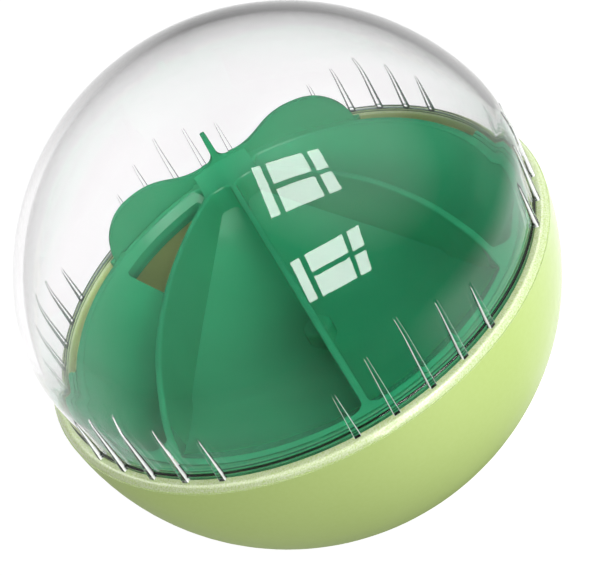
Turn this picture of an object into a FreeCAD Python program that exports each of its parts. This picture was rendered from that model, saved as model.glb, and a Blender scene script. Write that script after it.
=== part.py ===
import FreeCAD, Part

import math
import os

from FreeCAD import Vector

# Wobble treat ball: a light green bowl and a clear dome make one ball. A turning maze tray
# lies between them, over a fixed gate bowl. Treats drop through the tray and the gate into the
# lower chamber and leave by two outlets in the bowl. A steel disc low in the bowl rights it.
#
# Sizes are in millimetres. Heights are measured from the middle of the ball, and save() lifts
# each piece so that the origin is the middle of the flat foot. The tray's straight divider
# runs along Y, and its back panel stands at +Y.

# Ball, bowl and rim
ball_diameter = 150.0
foot_diameter = 30.0
bowl_wall = 2.5
rim_height = 2.9
rim_band_height = 1.7
rim_band_step = 0.3

# Dome
dome_wall = 2.7
neck_wall = 1.9
neck_inset = 3.45
neck_blend_radius = 30.0
spigot_depth = 4.5

foot_bead_start = 3.4
foot_bead_height = 1.2
foot_bead_reach = 0.4

# Grip ribs of the dome, in groups, with the tallest in the middle; angles are in degrees
rib_groups = 6
rib_heights = (13.5, 18.0, 21.6, 18.0, 13.5)
rib_pitch = 8.2
first_group_angle = -78.0
rib_thickness = 1.5
rib_reach = 1.45
rib_tip_reach = 0.25
rib_embed = 1.0

# Maze tray
tray_rim_width = 4.3
tray_top = 3.0
tray_rim_height = 2.7
tray_depth = 29.0
tray_wall = 1.8
tray_lip_width = 1.2
tray_lip_height = 0.5
tray_groove_width = 0.8
tray_groove_depth = 0.5
tray_lip_stop = 11.0
tray_edge_radius = 0.6
pocket_corner_radius = 3.0
narrow_rim_width = 1.8
narrow_rim_from = 7.0
narrow_rim_to = 48.0

# Dividers and hub pad of the tray
divider_wall = 1.9
curved_divider_radius = 138.0
curved_divider_end = -45.0
pad_half_width = 9.7
pad_depth = 11.6

# Back panel and finger post of the tray
panel_wall = 1.9
panel_half_width = 44.5
panel_crest_height = 11.1
panel_valley_height = 3.0
panel_valley_at = 6.0
post_height = 14.0
post_base_half = 1.1
post_tip_half = 0.85
post_tip_radius = 0.5
post_flare_radius = 3.0
panel_wave_swell = 0.9
panel_wave_slope = 0.45
panel_pocket_width = 1.2
panel_pocket_depth = 2.0
panel_pocket_from = 100.0
panel_pocket_to = 128.0

# Drop hole of the tray, and the turn that closes it
drop_from = 99.0
drop_to = 136.0
drop_margin = 2.2
drop_corner_radius = 1.2
window_margin = 0.6
tray_turn = 40.0

# Gate bowl under the tray
gate_gap = 0.4
gate_wall = 1.6
gate_rim_height = 1.6
gate_rim_inset = 0.2
gate_rest_angle = 30.0
gate_rest_wall = 1.6
gate_rest_length = 3.0
gate_rest_drop = 7.0
gate_rest_root = 1.0
window_below_rim = 1.0

# Tray pivot and turning stop
pivot_boss_radius = 5.0
pivot_cap_radius = 4.5
pivot_cap_height = 5.5
pivot_cap_edge = 1.5
washer_radius = 8.0
washer_thickness = 1.0
pivot_shank_radius = 1.4
pivot_shank_length = 9.0
pivot_head_radius = 3.2
pivot_head_height = 2.0
pivot_head_edge = 1.2
pivot_slot_width = 0.8
pivot_slot_depth = 0.8
stop_pin_radius = 1.8
stop_pin_at = 16.0
stop_pin_angle = -110.0
stop_pin_reach = 0.8

# Outlets, chamber cover and counterweight
outlet_diameter = 24.0
outlet_sill = 1.0
outlet_edge_radius = 0.9
cover_wall = 2.2
cover_crown_radius = 34.0
cover_crown_height = 6.0
cover_over_weight = 2.8
weight_diameter = 56.0
weight_height = 9.0
weight_bevel = 0.8
weight_seat_outer = 24.0
weight_seat_inner = 20.0
well_wall = 2.0
well_below_weight_top = 2.0

# Screws
drive_slot_width = 0.6
drive_slot_depth = 0.5
cover_screw_count = 4
cover_screw_at = 41.0
cover_boss_radius = 4.0
cover_screw_shank = 1.25
cover_screw_head = 2.6
cover_screw_length = 6.5
gate_screw_angles = (60.0, 180.0, 300.0)
gate_boss_radius = 2.8
gate_boss_drop = 11.0
gate_screw_shank = 1.0
gate_screw_head = 1.7
gate_screw_length = 8.0

# Clearances
running_gap = 0.3
tray_side_gap = 0.45
seat_gap = 0.4
screw_gap = 0.05
head_recess = 0.1

# Length by which a cutting block passes the piece it cuts
past = 1.0

# Worked out from the sizes above
ball_radius = ball_diameter / 2
foot_radius = foot_diameter / 2
foot_height = -math.sqrt(ball_radius**2 - foot_radius**2)
bowl_inner_radius = ball_radius - bowl_wall
bowl_floor = foot_height + bowl_wall
neck_radius = ball_radius - neck_inset
neck_bore = neck_radius - neck_wall
rebate_radius = neck_radius + running_gap
ledge_height = rim_height - spigot_depth
chamber_bore = neck_bore - running_gap

tray_radius = neck_bore - tray_side_gap
tray_mouth = tray_radius - tray_rim_width
tray_underside = tray_top - tray_rim_height
floor_radius = (tray_mouth**2 + tray_depth**2) / (2 * tray_depth)
floor_middle = tray_top - tray_depth + floor_radius
tray_outer_radius = floor_radius + tray_wall
panel_inner = tray_radius - panel_wall
pad_front = panel_inner - pad_depth
panel_half_angle = math.degrees(math.asin(panel_half_width / tray_radius))

gate_inner_radius = tray_outer_radius + gate_gap
gate_outer_radius = gate_inner_radius + gate_wall
gate_top = tray_underside - running_gap
gate_underside = gate_top - gate_rim_height
gate_rim_radius = tray_radius - gate_rim_inset
gate_lowest = floor_middle - gate_outer_radius
gate_mouth = math.sqrt(gate_inner_radius**2 - (floor_middle - gate_top)**2)
gate_screw_at = (gate_mouth + gate_rim_radius) / 2

weight_radius = weight_diameter / 2
well_radius = weight_radius + seat_gap
weight_bottom = -math.sqrt(bowl_inner_radius**2 - (well_radius + well_wall)**2)
weight_top = weight_bottom + weight_height
cover_underside = weight_top + cover_over_weight
cover_top = cover_underside + cover_wall
outlet_height = cover_top + outlet_sill + outlet_diameter / 2

boss_end = gate_lowest - running_gap
axis = Vector(0, 0, 1)
above_everything = ball_radius


def sphere_rho(radius, height, middle=0.0):
    """Distance from the axis of a sphere's surface at a height."""
    return math.sqrt(radius**2 - (height - middle)**2)


def sphere_floor(radius, rho, middle=0.0):
    """Height of a sphere's lower surface at a distance from the axis."""
    return middle - math.sqrt(radius**2 - rho**2)


def line(start, end):
    """Straight edge of a section, between (distance from the axis, height) pairs."""
    return Part.LineSegment(Vector(start[0], 0, start[1]), Vector(end[0], 0, end[1])).toShape()


def arc(start, end, middle):
    """Shorter round edge of a section about the point middle."""
    from_angle = math.atan2(start[1] - middle[1], start[0] - middle[0])
    to_angle = math.atan2(end[1] - middle[1], end[0] - middle[0])
    shorter_way = (to_angle - from_angle + math.pi) % (2 * math.pi) - math.pi
    half = from_angle + shorter_way / 2
    radius = math.hypot(start[0] - middle[0], start[1] - middle[1])
    through = Vector(middle[0] + radius * math.cos(half), 0, middle[1] + radius * math.sin(half))
    return Part.Arc(Vector(start[0], 0, start[1]), through, Vector(end[0], 0, end[1])).toShape()


def turned(edges):
    """Solid swept by a closed section once about the axis."""
    return Part.Face(Part.Wire(edges)).revolve(Vector(0, 0, 0), axis, 360)


def disc(radius, bottom, top, x=0.0, y=0.0):
    """Upright cylinder between two heights."""
    return Part.makeCylinder(radius, top - bottom, Vector(x, y, bottom))


def ring(inner, outer, bottom, top):
    """Upright tube between two heights."""
    return disc(outer, bottom, top).cut(disc(inner, bottom, top))


def ball(radius, middle=0.0):
    """Full ball on the axis."""
    return Part.makeSphere(radius, Vector(0, 0, middle))


def around(radius, angle):
    """Plan position at a distance from the axis and an angle from +X."""
    return (radius * math.cos(math.radians(angle)), radius * math.sin(math.radians(angle)))


def sector_face(inner, outer, from_angle, to_angle):
    """Flat plan face between two radii and two angles."""
    half = (from_angle + to_angle) / 2
    corners = [Vector(*around(radius, angle), 0) for radius, angle in
               ((inner, from_angle), (outer, from_angle), (outer, to_angle), (inner, to_angle))]
    outer_arc = Part.Arc(corners[1], Vector(*around(outer, half), 0), corners[2]).toShape()
    inner_arc = Part.Arc(corners[3], Vector(*around(inner, half), 0), corners[0]).toShape()
    sides = [Part.LineSegment(corners[0], corners[1]).toShape(),
             Part.LineSegment(corners[2], corners[3]).toShape()]
    return Part.Face(Part.Wire([sides[0], outer_arc, sides[1], inner_arc]))


def sector(inner, outer, from_angle, to_angle, bottom, top):
    """Upright block between two radii, two angles and two heights."""
    face = sector_face(inner, outer, from_angle, to_angle)
    face.translate(Vector(0, 0, bottom))
    return face.extrude(Vector(0, 0, top - bottom))


def screw(head_radius, shank_radius, length, top, x, y):
    """Countersunk screw with a flat head, its top face at the height top."""
    head_height = head_radius - shank_radius
    edges = [line((0, top), (head_radius, top)),
             line((head_radius, top), (shank_radius, top - head_height)),
             line((shank_radius, top - head_height), (shank_radius, top - length + shank_radius)),
             line((shank_radius, top - length + shank_radius), (0, top - length)),
             line((0, top - length), (0, top))]
    slot_bottom = top - drive_slot_depth
    along_x = Part.makeBox(head_radius, drive_slot_width, drive_slot_depth,
                           Vector(-head_radius / 2, -drive_slot_width / 2, slot_bottom))
    along_y = Part.makeBox(drive_slot_width, head_radius, drive_slot_depth,
                           Vector(-drive_slot_width / 2, -head_radius / 2, slot_bottom))
    return turned(edges).cut(along_x).cut(along_y).translated(Vector(x, y, 0))


def screw_hole(head_radius, shank_radius, length, top, x, y):
    """Space that a countersunk screw needs, with its clearance."""
    wide = head_radius + screw_gap
    narrow = shank_radius + screw_gap
    cone_height = head_radius - shank_radius
    hole = Part.makeCone(narrow, wide, cone_height, Vector(x, y, top - cone_height))
    hole = hole.fuse(disc(narrow, top - length - screw_gap, top, x, y))
    return hole.fuse(disc(wide, top, top + head_recess + past, x, y))


def rounded(face, radius):
    """Flat face with its outward corners rounded."""
    return face.makeOffset2D(-radius).makeOffset2D(radius)


def cover_screw_places():
    """Plan places of the screws that hold the chamber cover, clear of the outlets."""
    step = 360.0 / cover_screw_count
    return [around(cover_screw_at, step / 2 + step * index) for index in range(cover_screw_count)]


def gate_screw_places():
    """Plan places of the screws that hold the gate bowl's rim."""
    return [around(gate_screw_at, angle) for angle in gate_screw_angles]


def make_base_bowl():
    """Lower half of the ball: thick rebated rim, weight well, bosses, rests and outlets."""
    band_bottom = rim_height - rim_band_height
    band_radius = sphere_rho(ball_radius, band_bottom) - rim_band_step
    shoulder = (band_radius - rim_band_height, band_bottom)
    bore_bottom = -math.sqrt(bowl_inner_radius**2 - chamber_bore**2)
    floor_edge = sphere_rho(bowl_inner_radius, bowl_floor)
    shell = turned([
        line((0, foot_height), (foot_radius, foot_height)),
        arc((foot_radius, foot_height), (band_radius + rim_band_step, band_bottom), (0, 0)),
        line((band_radius + rim_band_step, band_bottom), (band_radius, band_bottom)),
        arc((band_radius, band_bottom), (shoulder[0], rim_height), shoulder),
        line((shoulder[0], rim_height), (rebate_radius, rim_height)),
        line((rebate_radius, rim_height), (rebate_radius, ledge_height)),
        line((rebate_radius, ledge_height), (chamber_bore, ledge_height)),
        line((chamber_bore, ledge_height), (chamber_bore, bore_bottom)),
        arc((chamber_bore, bore_bottom), (floor_edge, bowl_floor), (0, 0)),
        line((floor_edge, bowl_floor), (0, bowl_floor)),
        line((0, bowl_floor), (0, foot_height))])

    within_wall = ball(ball_radius - bowl_wall / 2)
    inside = [ring(well_radius, well_radius + well_wall, foot_height, weight_top - well_below_weight_top),
              ring(weight_seat_inner, weight_seat_outer, foot_height, weight_bottom)]
    for x, y in cover_screw_places():
        inside.append(disc(cover_boss_radius, foot_height, cover_underside, x, y))
    for x, y in gate_screw_places():
        boss = disc(gate_boss_radius, gate_underside - gate_boss_drop, gate_underside, x, y)
        inside.append(boss.cut(ball(gate_outer_radius + running_gap, floor_middle)))
    for angle in rest_angles():
        inside.append(gate_rest(angle))
    inner_parts = inside[0].multiFuse(inside[1:]).common(within_wall)
    gate_room = disc(ball_radius, gate_underside, above_everything)
    spigot_room = ring(chamber_bore, ball_radius, ledge_height, above_everything)
    bowl = shell.fuse(inner_parts.cut(gate_room).cut(spigot_room))

    for x, y in cover_screw_places():
        bowl = bowl.cut(disc(cover_screw_shank + screw_gap, cover_top - cover_screw_length - screw_gap,
                             cover_top, x, y))
    for x, y in gate_screw_places():
        bowl = bowl.cut(disc(gate_screw_shank + screw_gap, gate_top - gate_screw_length - screw_gap,
                             gate_top, x, y))
    bore = Part.makeCylinder(outlet_diameter / 2, 2 * ball_radius, Vector(-ball_radius, 0, outlet_height),
                             Vector(1, 0, 0))
    bowl = bowl.cut(bore).removeSplitter()
    return round_outlets(bowl)


def round_outlets(bowl):
    """Rounds the outer and inner edges of both outlets."""
    closeness = 0.5
    edges = []
    for edge in bowl.Edges:
        box = edge.BoundBox
        tall = abs(box.ZLength - outlet_diameter) < closeness
        level = abs(box.Center.z - outlet_height) < closeness
        if tall and level and abs(box.Center.x) > chamber_bore / 2:
            edges.append(edge)
    return bowl.makeFillet(outlet_edge_radius, edges)


def rest_angles():
    """Angles of the gate rests: evenly round the bowl, save where a screw boss stands."""
    every = [gate_rest_angle * index for index in range(int(round(360 / gate_rest_angle)))]
    return [angle for angle in every if angle not in gate_screw_angles]


def gate_rest(angle):
    """Small bracket on the bowl's wall that carries the gate bowl's rim."""
    inner = chamber_bore - gate_rest_length
    outer = chamber_bore + gate_rest_root
    corners = [Vector(inner, 0, gate_underside), Vector(outer, 0, gate_underside),
               Vector(outer, 0, gate_underside - gate_rest_drop),
               Vector(chamber_bore, 0, gate_underside - gate_rest_drop),
               Vector(inner, 0, gate_underside - gate_rest_drop + gate_rest_length)]
    face = Part.Face(Part.makePolygon(corners + corners[:1]))
    rest = face.extrude(Vector(0, gate_rest_wall, 0)).translated(Vector(0, -gate_rest_wall / 2, 0))
    return rest.rotated(Vector(0, 0, 0), axis, angle)


def make_counterweight():
    """Steel disc in the well, with bevelled edges."""
    low = weight_bottom + weight_bevel
    high = weight_top - weight_bevel
    inner = weight_radius - weight_bevel
    return turned([line((0, weight_bottom), (inner, weight_bottom)),
                   line((inner, weight_bottom), (weight_radius, low)),
                   line((weight_radius, low), (weight_radius, high)),
                   line((weight_radius, high), (inner, weight_top)),
                   line((inner, weight_top), (0, weight_top)),
                   line((0, weight_top), (0, weight_bottom))])


def make_weight_cover():
    """Floor of the lower chamber: flat round its screws, crowned in the middle."""
    edge_radius = bowl_inner_radius - seat_gap
    crown = (cover_crown_radius**2 + cover_crown_height**2) / (2 * cover_crown_height)
    crown_middle = cover_top + cover_crown_height - crown
    under_crown = crown - cover_wall
    under_edge = sphere_rho(under_crown, cover_underside, crown_middle)
    cover = turned([
        arc((0, crown_middle + crown), (cover_crown_radius, cover_top), (0, crown_middle)),
        line((cover_crown_radius, cover_top), (sphere_rho(edge_radius, cover_top), cover_top)),
        arc((sphere_rho(edge_radius, cover_top), cover_top),
            (sphere_rho(edge_radius, cover_underside), cover_underside), (0, 0)),
        line((sphere_rho(edge_radius, cover_underside), cover_underside), (under_edge, cover_underside)),
        arc((under_edge, cover_underside), (0, crown_middle + under_crown), (0, crown_middle)),
        line((0, crown_middle + under_crown), (0, crown_middle + crown))])
    for x, y in cover_screw_places():
        cover = cover.cut(screw_hole(cover_screw_head, cover_screw_shank, cover_screw_length,
                                     cover_top - head_recess, x, y))
    return cover


def make_cover_screws():
    """Countersunk screws of the chamber cover."""
    return Part.makeCompound([
        screw(cover_screw_head, cover_screw_shank, cover_screw_length - head_recess,
              cover_top - head_recess, x, y) for x, y in cover_screw_places()])


def make_gate_bowl():
    """Thin fixed bowl close under the tray, with one window and the stop's arc slot."""
    outside = sphere_rho(gate_outer_radius, gate_underside, floor_middle)
    shell = turned([
        arc((0, floor_middle - gate_inner_radius), (gate_mouth, gate_top), (0, floor_middle)),
        line((gate_mouth, gate_top), (gate_rim_radius, gate_top)),
        line((gate_rim_radius, gate_top), (gate_rim_radius, gate_underside)),
        line((gate_rim_radius, gate_underside), (outside, gate_underside)),
        arc((outside, gate_underside), (0, gate_lowest), (0, floor_middle)),
        line((0, gate_lowest), (0, floor_middle - gate_inner_radius))])
    window = drop_outline().makeOffset2D(window_margin)
    shell = shell.cut(upright(window, -ball_radius, gate_underside - window_below_rim))
    shell = shell.cut(disc(pivot_boss_radius + running_gap, -ball_radius, 0))
    shell = shell.cut(stop_slot())
    for x, y in gate_screw_places():
        shell = shell.cut(screw_hole(gate_screw_head, gate_screw_shank, gate_screw_length,
                                     gate_top - head_recess, x, y))
    return shell


def stop_slot():
    """Arc slot that lets the stop pin travel the tray's turn."""
    half_width = stop_pin_radius + running_gap
    slot = sector(stop_pin_at - half_width, stop_pin_at + half_width, stop_pin_angle,
                  stop_pin_angle + tray_turn, -ball_radius, 0)
    for angle in (stop_pin_angle, stop_pin_angle + tray_turn):
        slot = slot.fuse(disc(half_width, -ball_radius, 0, *around(stop_pin_at, angle)))
    return slot


def make_gate_screws():
    """Countersunk screws of the gate bowl's rim."""
    return Part.makeCompound([
        screw(gate_screw_head, gate_screw_shank, gate_screw_length - head_recess,
              gate_top - head_recess, x, y) for x, y in gate_screw_places()])


def upright(face, bottom, top):
    """Block with a plan face as its section."""
    return face.translated(Vector(0, 0, bottom)).extrude(Vector(0, 0, top - bottom))


def curved_divider_middle():
    """Plan middle of the right curved divider's centre line."""
    start = Vector(pad_half_width - divider_wall / 2, pad_front, 0)
    end = Vector(*around(tray_mouth, curved_divider_end), 0)
    chord = end - start
    half = chord.Length / 2
    reach = math.sqrt(curved_divider_radius**2 - half**2)
    inward = Vector(chord.y, -chord.x, 0).normalize()
    return (start + end) / 2 + inward * reach


def divider_plan():
    """Plan face of the three dividers and the hub pad."""
    middle = curved_divider_middle()
    side = 2 * ball_radius
    outer = Part.Face(Part.Wire(Part.makeCircle(curved_divider_radius + divider_wall / 2, middle, axis)))
    inner = Part.Face(Part.Wire(Part.makeCircle(curved_divider_radius - divider_wall / 2, middle, axis)))
    front_right = Part.makePlane(side, side + pad_front, Vector(0, -side, 0))
    right = outer.cut(inner).common(front_right)
    left = right.mirror(Vector(0, 0, 0), Vector(1, 0, 0))
    straight = Part.makePlane(divider_wall, side + pad_front, Vector(-divider_wall / 2, -side, 0))
    pad = Part.makePlane(2 * pad_half_width, side, Vector(-pad_half_width, pad_front, 0))
    return right.multiFuse([left, straight, pad])


def pockets():
    """Plan faces of the tray's four compartments below their rounded edge, from left to right."""
    mouth_radius = sphere_rho(floor_radius, tray_top - tray_edge_radius, floor_middle)
    mouth = Part.Face(Part.Wire(Part.makeCircle(mouth_radius, Vector(0, 0, 0), axis)))
    faces = mouth.cut(divider_plan()).Faces
    faces.sort(key=lambda face: face.CenterOfMass.x)
    return [rounded(face, pocket_corner_radius) for face in faces]


def rounded_mouth(face):
    """Block that widens a compartment's upper edge in a round, made of two bevels."""
    wires = []
    for angle in (0.0, 45.0, 90.0):
        outward = tray_edge_radius * (1 - math.cos(math.radians(angle)))
        depth = tray_edge_radius * (1 - math.sin(math.radians(angle)))
        outline = face.makeOffset2D(outward) if outward > 0 else face
        wires.append(outline.translated(Vector(0, 0, tray_top - depth)).OuterWire)
    lower = Part.makeLoft(wires[:2], True, True)
    upper = Part.makeLoft(wires[1:], True, True)
    return [lower, upper]


def drop_outline():
    """Plan face of the tray's drop hole: a fan beside the hub, in the left compartment."""
    fan = pockets()[0].common(sector_face(pivot_boss_radius, tray_mouth, drop_from, drop_to)).Faces[0]
    return rounded(fan.makeOffset2D(-drop_margin), drop_corner_radius)


def panel_outline():
    """Face of the back panel and finger post, seen from the front, symmetric about the post."""
    base = tray_top
    valley = base + panel_valley_height
    crest = base + panel_crest_height
    tip = base + post_height
    crest_at = panel_half_width - panel_crest_height
    flare_end = post_base_half + post_flare_radius
    flare_top = valley + post_flare_radius
    wave = Part.BSplineCurve()
    wave.interpolate(Points=[Vector(panel_valley_at, 0, valley),
                             Vector((panel_valley_at + crest_at) / 2, 0,
                                    (valley + crest) / 2 + panel_wave_swell),
                             Vector(crest_at, 0, crest)],
                     Tangents=[Vector(1, 0, 0), Vector(1, 0, panel_wave_slope), Vector(1, 0, 0)],
                     TangentFlags=[True, False, True])
    tip_flat = post_tip_half - post_tip_radius
    tip_side = tip - post_tip_radius
    half = [line((0, tip), (tip_flat, tip)),
            arc((tip_flat, tip), (post_tip_half, tip_side), (tip_flat, tip_side)),
            line((post_tip_half, tip_side), (post_base_half, flare_top)),
            arc((post_base_half, flare_top), (flare_end, valley), (flare_end, flare_top)),
            line((flare_end, valley), (panel_valley_at, valley)),
            wave.toShape(),
            arc((crest_at, crest), (panel_half_width, base), (crest_at, base)),
            line((panel_half_width, base), (panel_half_width, tray_underside)),
            line((panel_half_width, tray_underside), (0, tray_underside))]
    other_half = [edge.mirror(Vector(0, 0, 0), Vector(1, 0, 0)) for edge in half]
    return Part.Face(Part.Wire(Part.sortEdges(half + other_half)[0]))


def make_panel():
    """Curved back panel that stands on the tray's rim."""
    wall = ring(panel_inner, tray_radius, tray_underside, above_everything)
    return wall.common(panel_outline().extrude(Vector(0, ball_radius, 0)))


def make_pad_ramp():
    """Hollow slope from the hub pad up to the panel's valley."""
    rise = panel_valley_height
    run = panel_inner + panel_wall / 2 - pad_front
    sweep = (run**2 + rise**2) / (2 * rise)
    foot = Vector(0, pad_front, tray_top)
    head = Vector(0, pad_front + run, tray_top + rise)
    half = math.asin(run / sweep) / 2
    through = Vector(0, pad_front + sweep * math.sin(half), tray_top + sweep * (1 - math.cos(half)))
    corner = Vector(0, pad_front + run, tray_top)
    edges = [Part.Arc(foot, through, head).toShape(), Part.LineSegment(head, corner).toShape(),
             Part.LineSegment(corner, foot).toShape()]
    ramp = Part.Face(Part.Wire(edges)).extrude(Vector(2 * pad_half_width, 0, 0))
    return ramp.translated(Vector(-pad_half_width, 0, 0)).common(disc(tray_radius, 0, above_everything))


def make_maze_tray():
    """Turning tray: four compartments carved in a shallow bowl, drop hole, panel and pivot."""
    tray = tray_blank()
    hollow = ball(floor_radius, floor_middle)
    for face in pockets():
        carved = upright(face, -ball_radius, tray_top - tray_edge_radius).common(hollow)
        tray = tray.cut(carved.multiFuse(rounded_mouth(face)))

    tray = tray.fuse(make_panel()).fuse(make_pad_ramp())
    above = tray_top + tray_lip_height + past
    for start, end in ((narrow_rim_from, narrow_rim_to), (180 - narrow_rim_to, 180 - narrow_rim_from)):
        tray = tray.cut(sector(tray_mouth + narrow_rim_width, ball_radius, start, end,
                               tray_underside - past, above))
    tray = tray.cut(sector(panel_inner - panel_pocket_width, panel_inner, panel_pocket_from,
                           panel_pocket_to, tray_top - panel_pocket_depth, above))
    tray = tray.cut(upright(drop_outline(), -ball_radius, tray_underside))
    return add_pivot(tray).removeSplitter()


def tray_blank():
    """Filled bowl with a flat rim, before its compartments are carved."""
    lip = tray_radius - tray_lip_width
    groove_outer = lip - tray_groove_width
    groove_inner = groove_outer - tray_groove_width
    groove_bottom = tray_top - tray_groove_depth
    lip_top = tray_top + tray_lip_height
    under = sphere_rho(tray_outer_radius, tray_underside, floor_middle)
    blank = turned([
        line((0, tray_top), (groove_inner, tray_top)),
        line((groove_inner, tray_top), (groove_inner, groove_bottom)),
        line((groove_inner, groove_bottom), (groove_outer, groove_bottom)),
        line((groove_outer, groove_bottom), (groove_outer, tray_top)),
        line((groove_outer, tray_top), (lip, tray_top)),
        line((lip, tray_top), (lip, lip_top)),
        line((lip, lip_top), (tray_radius, lip_top)),
        line((tray_radius, lip_top), (tray_radius, tray_underside)),
        line((tray_radius, tray_underside), (under, tray_underside)),
        arc((under, tray_underside), (0, floor_middle - tray_outer_radius), (0, floor_middle)),
        line((0, floor_middle - tray_outer_radius), (0, tray_top))])

    # The rim is level at the panel: its groove is filled there, and its lip stops a little before
    filling = sector(groove_inner, groove_outer, 90 - panel_half_angle, 90 + panel_half_angle,
                     groove_bottom, tray_top)
    lip_half_angle = panel_half_angle + tray_lip_stop
    lip_cut = sector(lip, tray_radius + past, 90 - lip_half_angle, 90 + lip_half_angle,
                     tray_top, lip_top + past)
    return blank.fuse(filling).cut(lip_cut)


def add_pivot(tray):
    """Adds the pivot boss, its cap above the floor, the screw hole and the stop pin."""
    floor = floor_middle - floor_radius
    tray = tray.fuse(disc(pivot_boss_radius, boss_end, floor))
    cap = disc(pivot_cap_radius, floor - tray_wall / 2, floor + pivot_cap_height)
    tray = tray.fuse(cap.makeFillet(pivot_cap_edge, [cap.Edges[0]]))
    hole_top = boss_end + pivot_shank_length - washer_thickness + running_gap
    tray = tray.cut(disc(pivot_shank_radius + screw_gap, boss_end, hole_top))
    x, y = around(stop_pin_at, stop_pin_angle)
    pin_end = sphere_floor(gate_outer_radius, stop_pin_at, floor_middle) - stop_pin_reach
    pin = disc(stop_pin_radius, pin_end, tray_underside, x, y)
    return tray.fuse(pin.cut(ball(tray_outer_radius - tray_wall / 2, floor_middle)))


def make_pivot_washer():
    """Plain washer that keeps the tray down on the gate bowl."""
    return ring(pivot_shank_radius + screw_gap, washer_radius, boss_end - washer_thickness, boss_end)


def make_pivot_screw():
    """Round headed screw in the tray's pivot boss."""
    seat = boss_end - washer_thickness
    bottom = seat - pivot_head_height
    head = disc(pivot_head_radius, bottom, seat)
    rim = [edge for edge in head.Edges if edge.BoundBox.ZMax < (bottom + seat) / 2]
    head = head.makeFillet(pivot_head_edge, rim)
    slot = Part.makeBox(2 * pivot_head_radius, pivot_slot_width, pivot_slot_depth,
                        Vector(-pivot_head_radius, -pivot_slot_width / 2, bottom))
    shank = disc(pivot_shank_radius, seat, seat + pivot_shank_length)
    return head.fuse(shank).cut(slot)


def make_clear_dome():
    """Clear upper half of the ball with a straight neck, a spigot, a foot bead and grip ribs."""
    outer = dome_section(neck_radius, ball_radius, neck_blend_radius)
    inner = dome_section(neck_bore, ball_radius - dome_wall, neck_blend_radius - dome_wall)
    dome = outer.cut(inner).fuse(foot_bead())
    ribs = []
    for group in range(rib_groups):
        for index, height in enumerate(rib_heights):
            from_middle = index - (len(rib_heights) - 1) / 2
            angle = first_group_angle + 360.0 / rib_groups * group + rib_pitch * from_middle
            ribs.append(grip_rib(angle, height))
    return dome.multiFuse(ribs)


def dome_section(neck, sphere, blend):
    """Solid of revolution: a straight neck that runs smoothly into a sphere."""
    blend_middle_height = math.sqrt((sphere - blend)**2 - (neck - blend)**2)
    blend_middle = (neck - blend, blend_middle_height)
    scale = sphere / (sphere - blend)
    touch = (blend_middle[0] * scale, blend_middle[1] * scale)
    return turned([line((0, ledge_height), (neck, ledge_height)),
                   line((neck, ledge_height), (neck, blend_middle_height)),
                   arc((neck, blend_middle_height), touch, blend_middle),
                   arc(touch, (0, sphere), (0, 0)),
                   line((0, sphere), (0, ledge_height))])


def foot_bead():
    """Small rounded ring round the neck, just above the bowl's rim."""
    end = foot_bead_start + foot_bead_height
    half_height = foot_bead_height / 2
    bulge_radius = (half_height**2 + foot_bead_reach**2) / (2 * foot_bead_reach)
    bulge_middle = (neck_radius + foot_bead_reach - bulge_radius, foot_bead_start + half_height)
    root = neck_radius - rib_embed
    return turned([arc((neck_radius, foot_bead_start), (neck_radius, end), bulge_middle),
                   line((neck_radius, end), (root, end)),
                   line((root, end), (root, foot_bead_start)),
                   line((root, foot_bead_start), (neck_radius, foot_bead_start))])


def wall_rho(height):
    """Distance from the axis to the dome's outer surface, on its neck or its blend."""
    blend_out = neck_radius - neck_blend_radius
    blend_middle_height = math.sqrt((ball_radius - neck_blend_radius)**2 - blend_out**2)
    past_neck = max(height - blend_middle_height, 0)
    return blend_out + math.sqrt(neck_blend_radius**2 - past_neck**2)


def grip_rib(angle, height):
    """Thin upright fin on the neck: widest at its foot, running out on the wall at its top."""
    foot = rim_height + running_gap
    top = foot + height
    tip = wall_rho(top) + rib_tip_reach
    corners = [Vector(neck_radius - rib_embed, 0, foot), Vector(neck_radius + rib_reach, 0, foot),
               Vector(tip, 0, top), Vector(tip - rib_embed, 0, top)]
    face = Part.Face(Part.makePolygon(corners + corners[:1]))
    fin = face.extrude(Vector(0, rib_thickness, 0)).translated(Vector(0, -rib_thickness / 2, 0))
    return fin.rotated(Vector(0, 0, 0), axis, angle)


def save(name, shape):
    """Writes one piece with the foot's middle as its origin."""
    os.makedirs("parts", exist_ok=True)
    lifted = shape.translated(Vector(0, 0, -foot_height))
    lifted.exportStep("parts/" + name + ".step")
    print(name, "solids", len(lifted.Solids), "volume", round(lifted.Volume), "valid", lifted.isValid())


save("base_bowl", make_base_bowl())
save("counterweight", make_counterweight())
save("weight_cover", make_weight_cover())
save("cover_screws", make_cover_screws())
save("gate_bowl", make_gate_bowl())
save("gate_screws", make_gate_screws())
save("maze_tray", make_maze_tray())
save("pivot_washer", make_pivot_washer())
save("pivot_screw", make_pivot_screw())
save("clear_dome", make_clear_dome())
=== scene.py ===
# %% [markdown]
# # Finishing a wobble treat ball
# The frame holds the ball's CAD pieces: a weighted light green bowl, a fixed gate, a turning maze
# tray and a clear dome. This lesson gives each piece the look of the real thing. First the frame
# is loaded. Its pieces stay where they are, so everything new is measured against them.

# %% Load the frame
import math

import bpy
import numpy as np
from mathutils import Matrix, Vector


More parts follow.
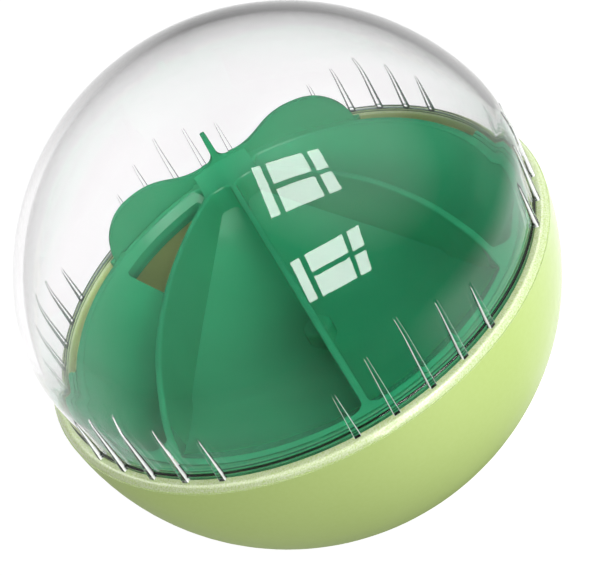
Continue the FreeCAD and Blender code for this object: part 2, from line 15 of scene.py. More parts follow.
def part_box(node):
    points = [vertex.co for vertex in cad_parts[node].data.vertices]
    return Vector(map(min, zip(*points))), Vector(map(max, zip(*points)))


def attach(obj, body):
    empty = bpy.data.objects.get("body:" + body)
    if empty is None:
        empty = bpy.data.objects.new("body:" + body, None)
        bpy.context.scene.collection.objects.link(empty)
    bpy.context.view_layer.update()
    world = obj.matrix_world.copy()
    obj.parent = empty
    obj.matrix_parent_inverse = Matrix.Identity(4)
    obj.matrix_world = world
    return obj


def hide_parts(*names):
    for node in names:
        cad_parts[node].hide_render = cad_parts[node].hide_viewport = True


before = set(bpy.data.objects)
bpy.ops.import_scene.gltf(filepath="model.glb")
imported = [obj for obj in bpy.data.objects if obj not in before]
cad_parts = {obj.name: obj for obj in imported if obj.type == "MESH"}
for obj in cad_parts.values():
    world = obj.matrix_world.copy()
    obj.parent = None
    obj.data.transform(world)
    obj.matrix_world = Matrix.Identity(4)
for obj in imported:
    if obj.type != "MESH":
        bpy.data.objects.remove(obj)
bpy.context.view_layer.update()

bpy.context.scene.view_settings.view_transform = "Standard"
print("nodes:", sorted(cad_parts))

# %% [markdown]
# ## Sizes
# Heights come from the frame where it can give them: the dome's box has the ball's crown as its
# top and the dome's foot as its bottom. The wall and the ribs are moulding sizes that no box
# shows, so they are named here, in metres.

# %% Sizes
dome_low, dome_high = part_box("clear_dome")
ball_radius = 0.075
ball_middle = dome_high.z - ball_radius
rim_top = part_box("base_bowl")[1].z

dome_wall = 0.0027
neck_wall = 0.0019
neck_inset = 0.00345
neck_blend_radius = 0.030
neck_radius = ball_radius - neck_inset

bead_start = ball_middle + 0.0034
bead_height = 0.0012
bead_reach = 0.0004
bead_fullness = 0.35

rib_groups = 6
rib_heights = np.array([0.0135, 0.018, 0.0216, 0.018, 0.0135])
rib_pitch = math.radians(8.2)
first_group_angle = math.radians(-78.0)
rib_thickness = 0.0015
rib_foot_share = 1.2
rib_tip_share = 0.5
rib_reach = 0.00145
rib_tip_reach = 0.00025
rib_foot = rim_top + 0.0003
least_lined_reach = 0.0001
evening_height = 0.015
plain_columns = 300
print("ball middle", round(ball_middle, 5), "rim top", round(rim_top, 5))

# %% [markdown]
# ## The camera
# The photograph looks down on the ball from 36 degrees, from a little over two ball widths away,
# and it is turned so that the ball leans to the left. The ball's centre is left of and above the
# middle of the frame. A camera can be aimed at the ball and then shifted, which moves the frame
# without changing the perspective. That is what is done here, because the ball's outline stays
# the same ellipse that the photograph has.

# %% Camera
frame_width = 600
frame_height = 576
ball_centre_px = (287.3, 274.7)
focal_px = 1121.8
camera_distance = 4.2 * ball_radius
camera_elevation = math.radians(35.75)
camera_azimuth = math.radians(-90.58)
lean = math.radians(30.45)

middle = Vector((0, 0, ball_middle))
away = Vector((math.cos(camera_elevation) * math.cos(camera_azimuth),
               math.cos(camera_elevation) * math.sin(camera_azimuth),
               math.sin(camera_elevation)))
level_right = (-away).cross(Vector((0, 0, 1))).normalized()
level_up = level_right.cross(-away)
camera_right = math.cos(lean) * level_right - math.sin(lean) * level_up
camera_up = math.sin(lean) * level_right + math.cos(lean) * level_up

camera = bpy.data.objects.new("camera", bpy.data.cameras.new("camera"))
bpy.context.scene.collection.objects.link(camera)
camera.matrix_world = (Matrix.Translation(middle + camera_distance * away)
                       @ Matrix((camera_right, camera_up, away)).transposed().to_4x4())
camera.data.sensor_width = 36.0
camera.data.lens = focal_px / frame_width * camera.data.sensor_width
camera.data.shift_x = (frame_width / 2 - ball_centre_px[0]) / frame_width
camera.data.shift_y = (ball_centre_px[1] - frame_height / 2) / frame_width
camera.data.clip_start = 0.01
bpy.context.scene.camera = camera
print("lens", round(camera.data.lens, 2), "mm, shift", round(camera.data.shift_x, 4),
      round(camera.data.shift_y, 4))

# %% [markdown]
# ## A surface from rows
# Most of the ball is turned: a profile carried once round the axis. One helper makes the mesh from
# a grid of points, with one row for each place along the profile and one column for each angle.
# The columns join up in a ring, and each end of the profile closes in a single point, so the
# result is a sealed solid wall.

# %% Sealed turned surface
sharp_corner = math.radians(38)


def link_piece(name, mesh):
    """Adds a mesh to the scene as an object at the origin, smooth but for its real corners."""
    mesh.validate()
    mesh.shade_smooth()
    mesh.set_sharp_from_angle(angle=sharp_corner)
    piece = bpy.data.objects.new(name, mesh)
    bpy.context.scene.collection.objects.link(piece)
    print(name, "has", len(mesh.polygons), "faces")
    return piece


def ring_grid_mesh(name, points, start, end):
    """Mesh of a grid of points whose columns close in a ring, sealed by a point at each end.

    points is rows x columns x 3. Corner (i, j) joins (i + 1, j), (i + 1, j + 1) and (i, j + 1),
    with j + 1 taken round the ring. The first row fans to start and the last to end."""
    rows, columns = points.shape[:2]
    i, j = np.meshgrid(np.arange(rows - 1), np.arange(columns), indexing="ij")
    right = (j + 1) % columns
    quads = np.stack([i * columns + j, (i + 1) * columns + j,
                      (i + 1) * columns + right, i * columns + right], axis=-1).reshape(-1, 4)
    ring = np.arange(columns)
    following = (ring + 1) % columns
    first, last = rows * columns, rows * columns + 1
    below = (rows - 1) * columns
    start_fan = np.stack([np.full(columns, first), ring, following], axis=-1)
    end_fan = np.stack([np.full(columns, last), below + following, below + ring], axis=-1)
    vertices = np.concatenate([points.reshape(-1, 3), [start, end]])
    mesh = bpy.data.meshes.new(name)
    mesh.from_pydata(vertices.tolist(), [],
                     quads.tolist() + start_fan.tolist() + end_fan.tolist())
    return mesh


# %% [markdown]
# ## The clear dome
# The real dome is one clear moulding: a half ball that runs smoothly into a straight neck, with
# a small bead at its foot and thin upright grip ribs in six groups of five, the middle one the
# tallest. Facets would show in clear plastic, so the CAD mesh is replaced by a finer one. The ribs
# could be separate fins pushed into the wall, but then their hidden ends would show through it.
# Here they are part of the same surface: the wall's radius simply rises where a rib stands, and
# the columns crowd together at its two sides.

# %% Dome profile
def dome_wall_profile(sphere, neck, blend, rows_round, rows_neck, marks):
    """Distances from the axis and heights of one side of the wall, from the crown to the foot.

    A normal that turns from upright to level leads along the profile. Down to the touching
    latitude the point is on the sphere: radius times (sine, cosine) of the turn. Past it the same
    (sine, cosine) is laid off from the middle of the smaller blend circle, and then the neck runs
    straight down, with extra rows at the marked heights."""
    turn = np.linspace(0.0, math.pi / 2, rows_round)
    blend_out = neck - blend
    blend_up = math.sqrt((sphere - blend)**2 - blend_out**2)
    on_ball = turn < math.asin(blend_out / (sphere - blend))
    out = np.where(on_ball, sphere * np.sin(turn), blend_out + blend * np.sin(turn))
    up = np.where(on_ball, sphere * np.cos(turn), blend_up + blend * np.cos(turn)) + ball_middle
    straight = np.linspace(ball_middle + blend_up, dome_low.z, rows_neck)[1:]
    straight = np.sort(np.concatenate([straight, marks]))[::-1]
    return np.concatenate([out, np.full(len(straight), neck)]), np.concatenate([up, straight])


def bead(up):
    """How far the bead stands out at each height.

    It is half a wave of a sine, raised to a small power so that its sides are full."""
    along = np.clip((up - bead_start) / bead_height, 0, 1)
    return bead_reach * np.sin(math.pi * along)**bead_fullness


def dome_columns():
    """Four rows with a number for each column of the dome: the angle of its rib, its own angle
    from there, its share of the rib's reach, and the rib's height.

    A rib's crest is nearly flat and its edges are rounded. Even columns fill the plain wall and
    leave out those that would fall inside a rib."""
    across = np.array([-1.06, -1.0, -0.93, -0.7, 0.7, 0.93, 1.0, 1.06]) * rib_thickness / 2
    crest = np.array([0.0, 0.72, 0.93, 1.0, 1.0, 0.93, 0.72, 0.0])
    in_group = len(rib_heights)
    group, index = np.meshgrid(np.arange(rib_groups), np.arange(in_group), indexing="ij")
    ribs = (first_group_angle + group * 2 * math.pi / rib_groups
            + (index - (in_group - 1) / 2) * rib_pitch).ravel() % (2 * math.pi)
    plain = np.linspace(0, 2 * math.pi, plain_columns, endpoint=False)
    apart = np.abs((plain[:, None] - ribs + math.pi) % (2 * math.pi) - math.pi).min(axis=1)
    plain = plain[apart > rib_thickness / neck_radius]
    columns = np.concatenate([
        [np.repeat(ribs, len(crest)), np.tile(across / neck_radius, len(ribs)),
         np.tile(crest, len(ribs)), np.repeat(rib_heights[index.ravel()], len(crest))],
        [plain, 0 * plain, 0 * plain, 0 * plain + rib_heights.max()]], axis=1)
    return columns[:, np.argsort(columns[0] + columns[1])]


def column_angles(ribs, aside, heights, up):
    """Angle of every column at each height.

    A rib's columns draw together towards its tip. Above the tallest rib all the columns slide
    apart until they stand at even steps, because crowded columns would show as upright streaks."""
    along = np.clip((up[:, None] - rib_foot) / heights, 0, 1)
    angles = ribs + aside * (rib_foot_share + along * (rib_tip_share - rib_foot_share))
    even = np.linspace(0, 2 * math.pi, len(ribs), endpoint=False)
    even += (ribs - even).mean()
    share = np.clip((up - rib_foot - rib_heights.max()) / evening_height, 0, 1)
    return angles + share[:, None] * (even - angles)


# %% Clear dome
bead_row_count = 11
outer_rows = (90, 14)
inner_rows = (70, 3)
rib_foot_step = 0.00001


def make_dome():
    """The dome's outer wall with its bead and ribs, its foot and its inner wall, as one surface.

    A rib stands out most at its foot, and its reach falls evenly to its tip. Where that is
    outside the wall and its bead, the rib's columns follow it. The columns on its two rounded
    edges are marked, so that the finish can find them."""
    bead_rows = bead_start + bead_height * (1 - np.cos(np.linspace(0, math.pi, bead_row_count))) / 2
    marks = np.concatenate([bead_rows, [rib_foot, rib_foot - rib_foot_step]])
    outer, outer_up = dome_wall_profile(ball_radius, neck_radius, neck_blend_radius,
                                        *outer_rows, marks)
    inner, inner_up = dome_wall_profile(ball_radius - dome_wall, neck_radius - neck_wall,
                                        neck_blend_radius - dome_wall, *inner_rows, [])
    ribs, aside, crest, heights = dome_columns()
    along = (outer_up[:, None] - rib_foot) / heights
    edge = outer[:, None] + rib_reach + along * (rib_tip_reach - rib_reach)
    wall = np.repeat((outer + bead(outer_up))[:, None], len(ribs), axis=1)
    reach = np.where((along >= 0) & (along <= 1), np.maximum(edge - wall, 0), 0)

    out = np.concatenate([(wall + reach * crest)[1:],
                          np.repeat(inner[:0:-1, None], len(ribs), axis=1)])
    up = np.concatenate([outer_up[1:], inner_up[:0:-1]])
    turn = column_angles(ribs, aside, heights,
                         np.concatenate([outer_up[1:], np.full(len(inner) - 1, dome_high.z)]))
    points = np.stack([out * np.cos(turn), out * np.sin(turn),
                       np.repeat(up[:, None], len(ribs), axis=1)], axis=-1)
    mesh = ring_grid_mesh("clear_dome_wall", points, (0, 0, outer_up[0]), (0, 0, inner_up[0]))
    on_edge = np.zeros(len(mesh.vertices))
    lined = (crest > 0) & (crest < 1) & (reach[1:] > least_lined_reach)
    on_edge[:lined.size] = lined.ravel()
    mesh.attributes.new("rib_edge", "FLOAT", "POINT").data.foreach_set("value", on_edge)
    return link_piece("clear_dome_wall", mesh)


dome = make_dome()
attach(dome, "dome")
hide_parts("clear_dome")

# %% [markdown]
# ## Building blocks for finishes
# Real mouldings are never one flat colour. The pigment drifts slowly, the surface has a fine grain
# from the steel of the mould, and the gloss changes a little from place to place. Each of these
# is a noise pattern in the piece's own coordinates, so it stays with the piece as it moves.

# %% Shader helpers
def new_material(name):
    """Empty node material with its Principled shader: returns the material, tree and shader."""
    material = bpy.data.materials.new(name)
    material.use_nodes = True
    tree = material.node_tree
    shader = tree.nodes["Principled BSDF"]
    return material, tree, shader


def noise(tree, per_metre, detail=3.0, stretch=(1, 1, 1)):
    """Noise with about per_metre blotches in a metre, optionally drawn out along an axis."""
    coordinates = tree.nodes.new("ShaderNodeTexCoord")
    mapping = tree.nodes.new("ShaderNodeMapping")
    mapping.inputs["Scale"].default_value = stretch
    pattern = tree.nodes.new("ShaderNodeTexNoise")
    pattern.inputs["Scale"].default_value = per_metre
    pattern.inputs["Detail"].default_value = detail
    tree.links.new(coordinates.outputs["Object"], mapping.inputs["Vector"])
    tree.links.new(mapping.outputs["Vector"], pattern.inputs["Vector"])
    return pattern.outputs["Fac"]


def spread(tree, value, low, high, from_low=0.3, from_high=0.7):
    """Takes a value to the range from low to high. Noise itself stays between 0.3 and 0.7."""
    scale = tree.nodes.new("ShaderNodeMapRange")
    scale.inputs["From Min"].default_value = from_low
    scale.inputs["From Max"].default_value = from_high
    scale.inputs["To Min"].default_value = low
    scale.inputs["To Max"].default_value = high
    tree.links.new(value, scale.inputs["Value"])
    return scale.outputs["Result"]


def calculate(tree, operation, first, second):
    """One step of arithmetic in a node tree. Each value is a number or another node's output."""
    step = tree.nodes.new("ShaderNodeMath")
    step.operation = operation
    for socket, value in zip(step.inputs, (first, second)):
        if isinstance(value, bpy.types.NodeSocket):
            tree.links.new(value, socket)
        else:
            socket.default_value = value
    return step.outputs["Value"]


def blend_colours(tree, share, first, second):
    """Colour between two, by a share from 0 to 1. Either may be a colour or another node's."""
    mix = tree.nodes.new("ShaderNodeMix")
    mix.data_type = "RGBA"
    colour_sockets = [socket for socket in mix.inputs if socket.type == "RGBA"]
    for socket, colour in zip(colour_sockets, (first, second)):
        if isinstance(colour, bpy.types.NodeSocket):
            tree.links.new(colour, socket)
        else:
            socket.default_value = (*colour, 1.0)
    if isinstance(share, bpy.types.NodeSocket):
        tree.links.new(share, mix.inputs[0])
    else:
        mix.inputs[0].default_value = share
    return next(socket for socket in mix.outputs if socket.type == "RGBA")


def place(tree, axis):
    """One of the piece's own coordinates, by its letter."""
    coordinates = tree.nodes.new("ShaderNodeTexCoord")
    parts = tree.nodes.new("ShaderNodeSeparateXYZ")
    tree.links.new(coordinates.outputs["Object"], parts.inputs["Vector"])
    return parts.outputs[axis]


def raised(tree, value, height, under=None):
    """Normal of a surface that the value lifts by up to height metres, over an earlier bump."""
    bump = tree.nodes.new("ShaderNodeBump")
    bump.inputs["Distance"].default_value = height
    tree.links.new(value, bump.inputs["Height"])
    if under is not None:
        tree.links.new(under, bump.inputs["Normal"])
    return bump.outputs["Normal"]


def assign(material, *names):
    """Gives CAD nodes or pieces one material in every slot."""
    for name in names:
        mesh = bpy.data.objects[name].data
        mesh.materials.clear()
        mesh.materials.append(material)
    print(material.name, "on", ", ".join(names))


# %% [markdown]
# ## Light green bowl
# The bowl is a satin moulding in a pale yellow green. Its body hardly mirrors anything except at
# the right, where the photograph shows a pale sheen, and a faint orange peel keeps its soft
# highlights from being too clean. Its rounded rim is another matter: there the mould was polished,
# and its nearly white sparkle is a painted highlight of fine pale grains in the rim's colour. The
# sheen and the polish are a clear coat over the satin, whose weight can change from place to place.

# %% Light green satin
rim_band_below_top = 0.0015
rim_band_fade = 0.0004
sheen_start = 0.035
sheen_full = 0.065


def light_green_satin():
    """Satin body, polished above the rim's lower edge with a painted highlight of pale grains there,
    and glossy at the right.
    """
    material, tree, shader = new_material("light_green_satin")
    drift = spread(tree, noise(tree, 22, 2), 0.0, 1.0)
    speck = spread(tree, noise(tree, 900, 2), 0.0, 1.0)
    pigment = blend_colours(tree, drift, (0.475, 0.615, 0.205), (0.515, 0.655, 0.235))
    specks = blend_colours(tree, speck, (0.49, 0.63, 0.21), (0.53, 0.67, 0.25))
    body = blend_colours(tree, 0.3, pigment, specks)
    rim_band_from = rim_top - rim_band_below_top
    on_rim = spread(tree, place(tree, "Z"), 0.0, 1.0, rim_band_from - rim_band_fade, rim_band_from)
    # Painted highlight: pale grains mixed into the rim band's colour stand in for its sparkle.
    painted_sparkle_grains = spread(tree, noise(tree, 2600, 1), 0.05, 0.75)
    tree.links.new(blend_colours(tree, calculate(tree, "MULTIPLY", on_rim, painted_sparkle_grains), body,
                                 (0.78, 0.85, 0.64)), shader.inputs["Base Color"])
    at_right = spread(tree, place(tree, "X"), 0.0, 1.0, sheen_start, sheen_full)
    tree.links.new(calculate(tree, "MAXIMUM", on_rim, at_right), shader.inputs["Coat Weight"])
    shader.inputs["Coat Roughness"].default_value = 0.2
    shader.inputs["Specular IOR Level"].default_value = 0.04
    tree.links.new(spread(tree, noise(tree, 140, 4), 0.28, 0.36), shader.inputs["Roughness"])
    grain = raised(tree, noise(tree, 1500, 2), 0.00001)
    peel = raised(tree, noise(tree, 260, 2), 0.00003, under=grain)
    tree.links.new(peel, shader.inputs["Normal"])
    shader.inputs["IOR"].default_value = 1.5
    return material


assign(light_green_satin(), "base_bowl", "weight_cover")

# %% [markdown]
# ## Green tray and gate
# The tray is a glossy deep green. The gate under it is the same plastic, given a darker green as
# painted shade, because it always sits in shade.

# %% Gloss green
def gloss_green(name, light, dark):
    """Glossy pigmented plastic between two greens, with slow sink marks and faint scuffs."""
    material, tree, shader = new_material(name)
    drift = spread(tree, noise(tree, 30, 3), 0.0, 1.0)
    tree.links.new(blend_colours(tree, drift, dark, light), shader.inputs["Base Color"])
    tree.links.new(spread(tree, noise(tree, 160, 4), 0.15, 0.21), shader.inputs["Roughness"])
    sink = raised(tree, noise(tree, 25, 1), 0.00008)
    grain = raised(tree, noise(tree, 1400, 2), 0.000002, under=sink)
    tree.links.new(grain, shader.inputs["Normal"])
    shader.inputs["IOR"].default_value = 1.52
    return material


assign(gloss_green("tray_green", (0.030, 0.37, 0.165), (0.024, 0.325, 0.140)), "maze_tray")
# Painted shade: the gate is the tray's plastic in a darker copy of its green.
assign(gloss_green("gate_green_painted_shade", (0.026, 0.31, 0.140), (0.020, 0.27, 0.115)), "gate_bowl")

# %% [markdown]
# ## Clear plastic
# The dome is clear and polished. It bends light as such plastic does. The sharp edges of its bead
# gather dark lines in the photograph. The edges of the ribs do so too at the back of the ball, and
# at the front they shine pale against the tray. Rendered light alone leaves such lines faint, so
# they are painted into the plastic's colour, each by its place on the dome: painted shade at the
# bead's edges and on the back ribs, painted highlights on the front ribs. Real light also passes
# through the dome to the tray, which a path tracer finds slowly, so for shadow rays the surface is
# simply a faint grey filter.

# %% Clear plastic
bead_line_half = 0.0002
bead_line_fade = 0.00015
pale_ribs_until = -0.01
dark_ribs_from = 0.02
rib_line_clearness = 0.15


def clear_plastic():
    """Clear, with painted shade as dark lines at the two edges of the bead, and along the ribs'
    edges painted highlights at the front and painted shade at the back.
    """
    material, tree, shader = new_material("clear_plastic")
    from_middle = calculate(tree, "SUBTRACT", place(tree, "Z"), bead_start + bead_height / 2)
    from_middle = calculate(tree, "ABSOLUTE", from_middle, 0.0)
    from_edge = calculate(tree, "SUBTRACT", from_middle, bead_height / 2)
    from_edge = calculate(tree, "ABSOLUTE", from_edge, 0.0)
    # Painted shade: a dark line at each edge of the bead, in the plastic's colour.
    line = spread(tree, from_edge, 1.0, 0.0, bead_line_half, bead_line_half + bead_line_fade)
    lined = blend_colours(tree, line, (0.995, 0.982, 0.993), (0.10, 0.16, 0.13))
    attribute = tree.nodes.new("ShaderNodeAttribute")
    attribute.attribute_name = "rib_edge"
    rib_edge = spread(tree, attribute.outputs["Fac"], 0.0, 1.0, 0.2, 0.9)
    # Painted highlights on the front ribs' edges and painted shade on the back ribs' edges, by
    # place.
    at_back = spread(tree, place(tree, "Y"), 0.0, 1.0, pale_ribs_until, dark_ribs_from)
    painted_rib_light_and_shade = blend_colours(tree, at_back, (0.93, 0.95, 0.94), (0.02, 0.035, 0.03))
    tree.links.new(blend_colours(tree, rib_edge, lined, painted_rib_light_and_shade), shader.inputs["Base Color"])
    tree.links.new(spread(tree, rib_edge, 1.0, rib_line_clearness, 0.0, 1.0),
                   shader.inputs["Transmission Weight"])
    shader.inputs["IOR"].default_value = 1.5
    tree.links.new(spread(tree, noise(tree, 500, 4), 0.0, 0.03), shader.inputs["Roughness"])
    tree.links.new(raised(tree, noise(tree, 35, 1), 0.000012), shader.inputs["Normal"])
    passing = tree.nodes.new("ShaderNodeBsdfTransparent")
    passing.inputs["Color"].default_value = (0.93, 0.94, 0.935, 1.0)
    path = tree.nodes.new("ShaderNodeLightPath")
    mix = tree.nodes.new("ShaderNodeMixShader")
    output = tree.nodes["Material Output"]
    tree.links.new(path.outputs["Is Shadow Ray"], mix.inputs["Fac"])
    tree.links.new(shader.outputs["BSDF"], mix.inputs[1])
    tree.links.new(passing.outputs["BSDF"], mix.inputs[2])
    tree.links.new(mix.outputs["Shader"], output.inputs["Surface"])
    return material


assign(clear_plastic(), "clear_dome_wall")

# %% [markdown]
# ## Metal and nylon
# The counterweight and the screws are zinc plated steel, and the tray's washer is plain nylon.

# %% Metal and nylon
def plated_steel(name, roughness):
    """Dull plated steel with fine brushed lines."""
    material, tree, shader = new_material(name)
    drift = spread(tree, noise(tree, 90, 3), 0.0, 1.0)
    tree.links.new(blend_colours(tree, drift, (0.52, 0.53, 0.54), (0.62, 0.62, 0.61)),
                   shader.inputs["Base Color"])
    shader.inputs["Metallic"].default_value = 1.0
    lines = noise(tree, 900, 3, stretch=(1, 9, 1))
    tree.links.new(spread(tree, lines, roughness, roughness + 0.15), shader.inputs["Roughness"])
    tree.links.new(raised(tree, lines, 0.00001), shader.inputs["Normal"])
    return material


def natural_nylon():
    """Milky unpigmented nylon, between two close shades."""
    material, tree, shader = new_material("natural_nylon")
    drift = spread(tree, noise(tree, 200, 3), 0.0, 1.0)
    tree.links.new(blend_colours(tree, drift, (0.72, 0.70, 0.64), (0.78, 0.77, 0.72)),
                   shader.inputs["Base Color"])
    tree.links.new(spread(tree, noise(tree, 700, 3), 0.4, 0.5), shader.inputs["Roughness"])
    return material


assign(plated_steel("counterweight_steel", 0.35), "counterweight")
assign(plated_steel("screw_steel", 0.25), "cover_screws", "gate_screws", "pivot_screw")
assign(natural_nylon(), "pivot_washer")

# %% [markdown]
# ## Floor and sky
# The photograph has a plain white ground and no horizon. The floor keeps the ball's soft shadow,
# and a little glow, for rays that come to the eye straight or by way of glass and gloss, lifts its
# open part to white. The sky does the same, so from every side the ball stands on white, and the
# light that falls on the ball stays at a plain level.
#
# Clear plastic on pure white has no edges. A photographer darkens the room around the white, and
# the rims and ribs, which mirror and bend light from far off, pick the darkness up. The same is
# done here by the ray's own history: one that was mirrored inside the plastic and has come out
# again finds a dim studio, white at the left only.
#
# The outer face of the dome mirrors the studio too, as a thin haze over the tray. In the
# photograph there is a soft patch of it in front of the tray's right half, and nearly none at the
# hub and at the far right. The bowl's limb at the right is nearly white. So what an outer face
# finds depends on the direction.

# %% Rays that reach the eye
def reaches_eye(tree, path):
    """1 for rays that come straight, mirrored or bent to the eye, and 0 for those on which a
    dull surface gathers its light."""
    either = calculate(tree, "MAXIMUM", path.outputs["Is Camera Ray"], path.outputs["Is Glossy Ray"])
    either = calculate(tree, "MAXIMUM", either, path.outputs["Is Transmission Ray"])
    sharp = calculate(tree, "LESS_THAN", path.outputs["Diffuse Depth"], 0.5)
    return calculate(tree, "MULTIPLY", either, sharp)


def kept_where(tree, condition, share):
    """1 where a condition is 0, and the given share where it is 1."""
    lost = calculate(tree, "MULTIPLY", condition, calculate(tree, "SUBTRACT", 1.0, share))
    return calculate(tree, "SUBTRACT", 1.0, lost)


def dot(tree, vector, fixed):
    """Product of a node's vector with a fixed one."""
    product = tree.nodes.new("ShaderNodeVectorMath")
    product.operation = "DOT_PRODUCT"
    product.inputs[1].default_value = fixed
    tree.links.new(vector, product.inputs[0])
    return product.outputs["Value"]


def direction(azimuth, elevation):
    """Unit vector towards a place in the studio, its azimuth and elevation given in degrees."""
    azimuth, elevation = math.radians(azimuth), math.radians(elevation)
    return Vector((math.cos(elevation) * math.cos(azimuth),
                   math.cos(elevation) * math.sin(azimuth), math.sin(elevation)))


# %% What mirrored rays find
edge_right_share = 0.22
edge_front_share = 0.2
near_wall_crossings = 2
far_rib_share = 0.02
least_haze = 0.1
left_haze = 0.4
patch_haze = 1.6
patch_way = direction(-20, 50)


def studio_share(tree, path, way):
    """Share of the white that a ray finds in the direction way from the ball.

    A ray both mirrored and bent draws the dome's edge. It finds white at the left, black straight
    ahead and a little at the right, less of all that in front of the ball, and next to nothing
    once it has crossed more than the near wall, to a far rib. One mirrored by an outer face draws
    the haze. It finds white behind the ball and low at its right, less at the left, and in front
    a soft patch that is brighter than white."""
    x = dot(tree, way, (1, 0, 0))
    y = dot(tree, way, (0, 1, 0))
    z = dot(tree, way, (0, 0, 1))
    crossings = path.outputs["Transmission Depth"]
    both = calculate(tree, "MULTIPLY", path.outputs["Glossy Depth"], crossings)
    both = calculate(tree, "GREATER_THAN", both, 0.5)
    edge = calculate(tree, "MAXIMUM", spread(tree, x, 1.0, 0.0, -0.4, 0.1),
                     spread(tree, x, 0.0, edge_right_share, 0.2, 0.85))
    edge = calculate(tree, "MULTIPLY", edge, spread(tree, y, edge_front_share, 1.0, -0.2, 0.1))
    farther = calculate(tree, "GREATER_THAN", crossings, near_wall_crossings + 0.5)
    edge = calculate(tree, "MINIMUM", edge, kept_where(tree, farther, far_rib_share))

    outside = calculate(tree, "LESS_THAN", crossings, 0.5)
    outside = calculate(tree, "MULTIPLY", path.outputs["Is Glossy Ray"], outside)
    behind = spread(tree, y, least_haze, 1.0, 0.1, 0.5)
    left = spread(tree, x, left_haze, least_haze, -0.6, 0.1)
    patch = spread(tree, dot(tree, way, patch_way), 0.0, patch_haze, 0.74, 0.94)
    low_right = calculate(tree, "MULTIPLY", spread(tree, x, 0.0, 1.0, 0.3, 0.6),
                          spread(tree, z, 1.0, 0.0, -0.4, -0.2))
    hazy = calculate(tree, "MAXIMUM", calculate(tree, "MAXIMUM", behind, left), patch)
    hazy = calculate(tree, "MAXIMUM", hazy, low_right)
    return calculate(tree, "MULTIPLY", kept_where(tree, both, edge), kept_where(tree, outside, hazy))


# %% Floor
def stage_object(name, vertices, faces, material):
    """A mesh of the studio, which isn't part of the ball."""
    mesh = bpy.data.meshes.new(name)
    mesh.from_pydata(np.asarray(vertices).tolist(), [], np.asarray(faces).tolist())
    mesh.materials.append(material)
    thing = bpy.data.objects.new(name, mesh)
    bpy.context.scene.collection.objects.link(thing)
    print(name, "has", len(mesh.polygons), "faces")
    return thing


def floor_finish():
    """White where it is seen, and darker for rays that the plastic has mirrored."""
    material, tree, shader = new_material("floor_white")
    spot = tree.nodes.new("ShaderNodeTexCoord").outputs["Object"]
    from_ball = tree.nodes.new("ShaderNodeVectorMath")
    from_ball.operation = "SUBTRACT"
    from_ball.inputs[1].default_value = middle
    way = tree.nodes.new("ShaderNodeVectorMath")
    way.operation = "NORMALIZE"
    tree.links.new(spot, from_ball.inputs[0])
    tree.links.new(from_ball.outputs["Vector"], way.inputs[0])
    path = tree.nodes.new("ShaderNodeLightPath")
    light = studio_share(tree, path, way.outputs["Vector"])
    speck = spread(tree, noise(tree, 60, 2), 0.43, 0.45)
    tree.links.new(calculate(tree, "MULTIPLY", speck, light), shader.inputs["Base Color"])
    shader.inputs["Roughness"].default_value = 1.0
    shader.inputs["Specular IOR Level"].default_value = 0.0
    shader.inputs["Emission Color"].default_value = (1, 1, 1, 1)
    glow = calculate(tree, "MULTIPLY", reaches_eye(tree, path), light)
    tree.links.new(calculate(tree, "MULTIPLY", glow, floor_glow), shader.inputs["Emission Strength"])
    return material


floor_radius = 5.0
floor_corners = 96
floor_glow = 0.86
corner_angles = np.linspace(0, 2 * math.pi, floor_corners, endpoint=False)
floor_edge = np.stack([floor_radius * np.cos(corner_angles), floor_radius * np.sin(corner_angles),
                       np.zeros(floor_corners)], axis=-1)
floor = stage_object("floor", floor_edge, [np.arange(floor_corners)], floor_finish())

# %% Sky
def make_sky(light):
    """White where it is seen, and a soft even light of the given strength on everything.

    The even sky needs no map of its bright places. Without one its light comes only along rays
    that truly pass through the dome, so nothing is counted twice."""
    world = bpy.data.worlds.new("studio")
    bpy.context.scene.world = world
    world.cycles.sampling_method = "NONE"
    world.use_nodes = True
    tree = world.node_tree
    path = tree.nodes.new("ShaderNodeLightPath")
    way = tree.nodes.new("ShaderNodeTexCoord").outputs["Generated"]
    seen = reaches_eye(tree, path)
    unseen = calculate(tree, "SUBTRACT", 1.0, seen)
    sky = tree.nodes["Background"]
    sky.inputs["Color"].default_value = (1, 1, 1, 1)
    seen = calculate(tree, "MULTIPLY", seen, studio_share(tree, path, way))
    tree.links.new(calculate(tree, "ADD", seen, calculate(tree, "MULTIPLY", unseen, light)),
                   sky.inputs["Strength"])
    print("sky lights the ball with", light)


make_sky(0.30)

# %% [markdown]
# ## Lamps
# The light in the photograph comes from the right and low: the bowl brightens steadily towards
# that side. One large soft lamp for the bowl does this. A second one, in front at the left, lights
# the tray evenly and fills the bowl's shade. It is long and thin, so that it draws thin bright
# lines on the tray's rounded edges. A broad lamp overhead only adds gloss, the bright band on the
# bowl's rim. The clear dome is left out of all three, because they would show as squares on it. A
# fourth lamp, which nothing mirrors, lights the pale lines on its ribs.

# %% Lamps
def soft_lamp(name, towards, distance, width, height, power, lit):
    """Flat lamp that faces the ball and shines on the objects in lit alone.

    Distance, width and height are in metres, and the power is in watts."""
    data = bpy.data.lights.new(name, "AREA")
    data.shape = "RECTANGLE"
    data.size = width
    data.size_y = height
    data.energy = power
    lamp = bpy.data.objects.new(name, data)
    bpy.context.scene.collection.objects.link(lamp)
    lamp.location = middle + distance * towards
    lamp.rotation_euler = towards.to_track_quat("Z", "Y").to_euler()
    lamp.visible_transmission = False
    receivers = bpy.data.collections.new(name + "_receivers")
    for thing in lit:
        receivers.objects.link(thing)
    lamp.light_linking.receiver_collection = receivers
    print(name, "shines with", round(power / (math.pi * width * height), 2))
    return lamp


bowl_pieces = [bpy.data.objects[name] for name in ("base_bowl", "weight_cover")]
dull_pieces = [bpy.data.objects[name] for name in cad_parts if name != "clear_dome"]

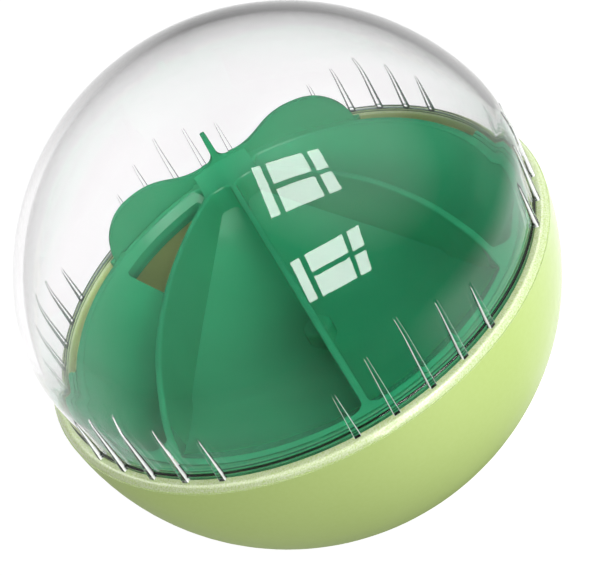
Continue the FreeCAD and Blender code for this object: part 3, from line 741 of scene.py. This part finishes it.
right_lamp = soft_lamp("right_lamp", direction(-22, 11), 1.2, 0.8, 0.8, 16, bowl_pieces + [floor])
right_lamp.visible_glossy = False

soft_lamp("left_lamp", direction(-104, 19), 1.2, 1.0, 0.1, 6.0, dull_pieces + [floor])

rim_lamp = soft_lamp("rim_lamp", direction(0, 90), 0.6, 1.4, 1.4, 26, bowl_pieces)
rim_lamp.visible_diffuse = False

rib_lamp = soft_lamp("rib_lamp", direction(-90, 20), 1.2, 0.8, 0.8, 14, [dome])
rib_lamp.visible_glossy = False

# %% [markdown]
# ## What the dome mirrors
# In the photograph two paned windows shine on the front of the dome. They are studio things that
# only gloss can see here, so they give the ball its sparkle and leave the light on it alone. They
# are placed by the photograph: a ray through each corner's pixel is followed to the dome, mirrored
# there, and carried on to where the real window would stand.

# %% Windows in the dome
def bounced(pixel):
    """Where the ray through a pixel meets the dome's ball, and the way it goes on from there."""
    across = (float(pixel[0]) - ball_centre_px[0]) / focal_px
    down = (float(pixel[1]) - ball_centre_px[1]) / focal_px
    ray = (across * camera_right - down * camera_up - away).normalized()
    start = camera_distance * away
    along = -ray.dot(start) - math.sqrt(ray.dot(start)**2 - start.dot(start) + ball_radius**2)
    normal = (start + along * ray).normalized()
    return middle + ball_radius * normal, ray - 2 * ray.dot(normal) * normal


def glow(name, strength):
    """Even light of one strength, seen only as it is."""
    material = bpy.data.materials.new(name)
    material.use_nodes = True
    tree = material.node_tree
    tree.nodes.remove(tree.nodes["Principled BSDF"])
    emission = tree.nodes.new("ShaderNodeEmission")
    emission.inputs["Strength"].default_value = strength
    tree.links.new(emission.outputs["Emission"], tree.nodes["Material Output"].inputs["Surface"])
    return material


def only_mirrored(thing):
    """Leaves a studio thing to mirrored rays."""
    thing.visible_camera = False
    thing.visible_diffuse = False
    thing.visible_transmission = False
    thing.visible_volume_scatter = False
    thing.visible_shadow = False


def window(name, corners_px, panes, distance, strength):
    """Panes of a far window whose mirror image on the dome has the given corners.

    A pane is (left, right, top, bottom) as shares of the window, and its corners are carried from
    the photograph by blending the window's four corners with those shares. Every mirrored ray is
    cut by one plane, square to the ray from the window's middle."""
    top_left, top_right, bottom_right, bottom_left = np.array(corners_px)
    centre, forward = bounced((top_left + top_right + bottom_right + bottom_left) / 4)
    plane_point = centre + distance * forward
    corners = []
    for left, right, top, bottom in panes:
        for across, down in ((left, top), (right, top), (right, bottom), (left, bottom)):
            upper = top_left + across * (top_right - top_left)
            lower = bottom_left + across * (bottom_right - bottom_left)
            origin, way = bounced(upper + down * (lower - upper))
            corners.append(origin + way * ((plane_point - origin).dot(forward) / way.dot(forward)))
    faces = np.arange(len(corners)).reshape(-1, 4)
    only_mirrored(stage_object(name, corners, faces, glow(name, strength)))


window_distance = 1.0
window_strength = 15
window_panes = ((0.0, 0.13, 0.0, 1.0), (0.21, 0.76, 0.0, 0.42), (0.21, 0.76, 0.53, 1.0),
                (0.83, 1.0, 0.0, 0.45), (0.83, 1.0, 0.55, 1.0))
upper_window_px = [(251, 168), (318, 148.6), (342, 189), (271.6, 218)]
lower_window_px = [(290, 263), (358, 225), (372, 270), (310, 303)]
window("upper_window", upper_window_px, window_panes, window_distance, window_strength)
window("lower_window", lower_window_px, window_panes, window_distance, window_strength)
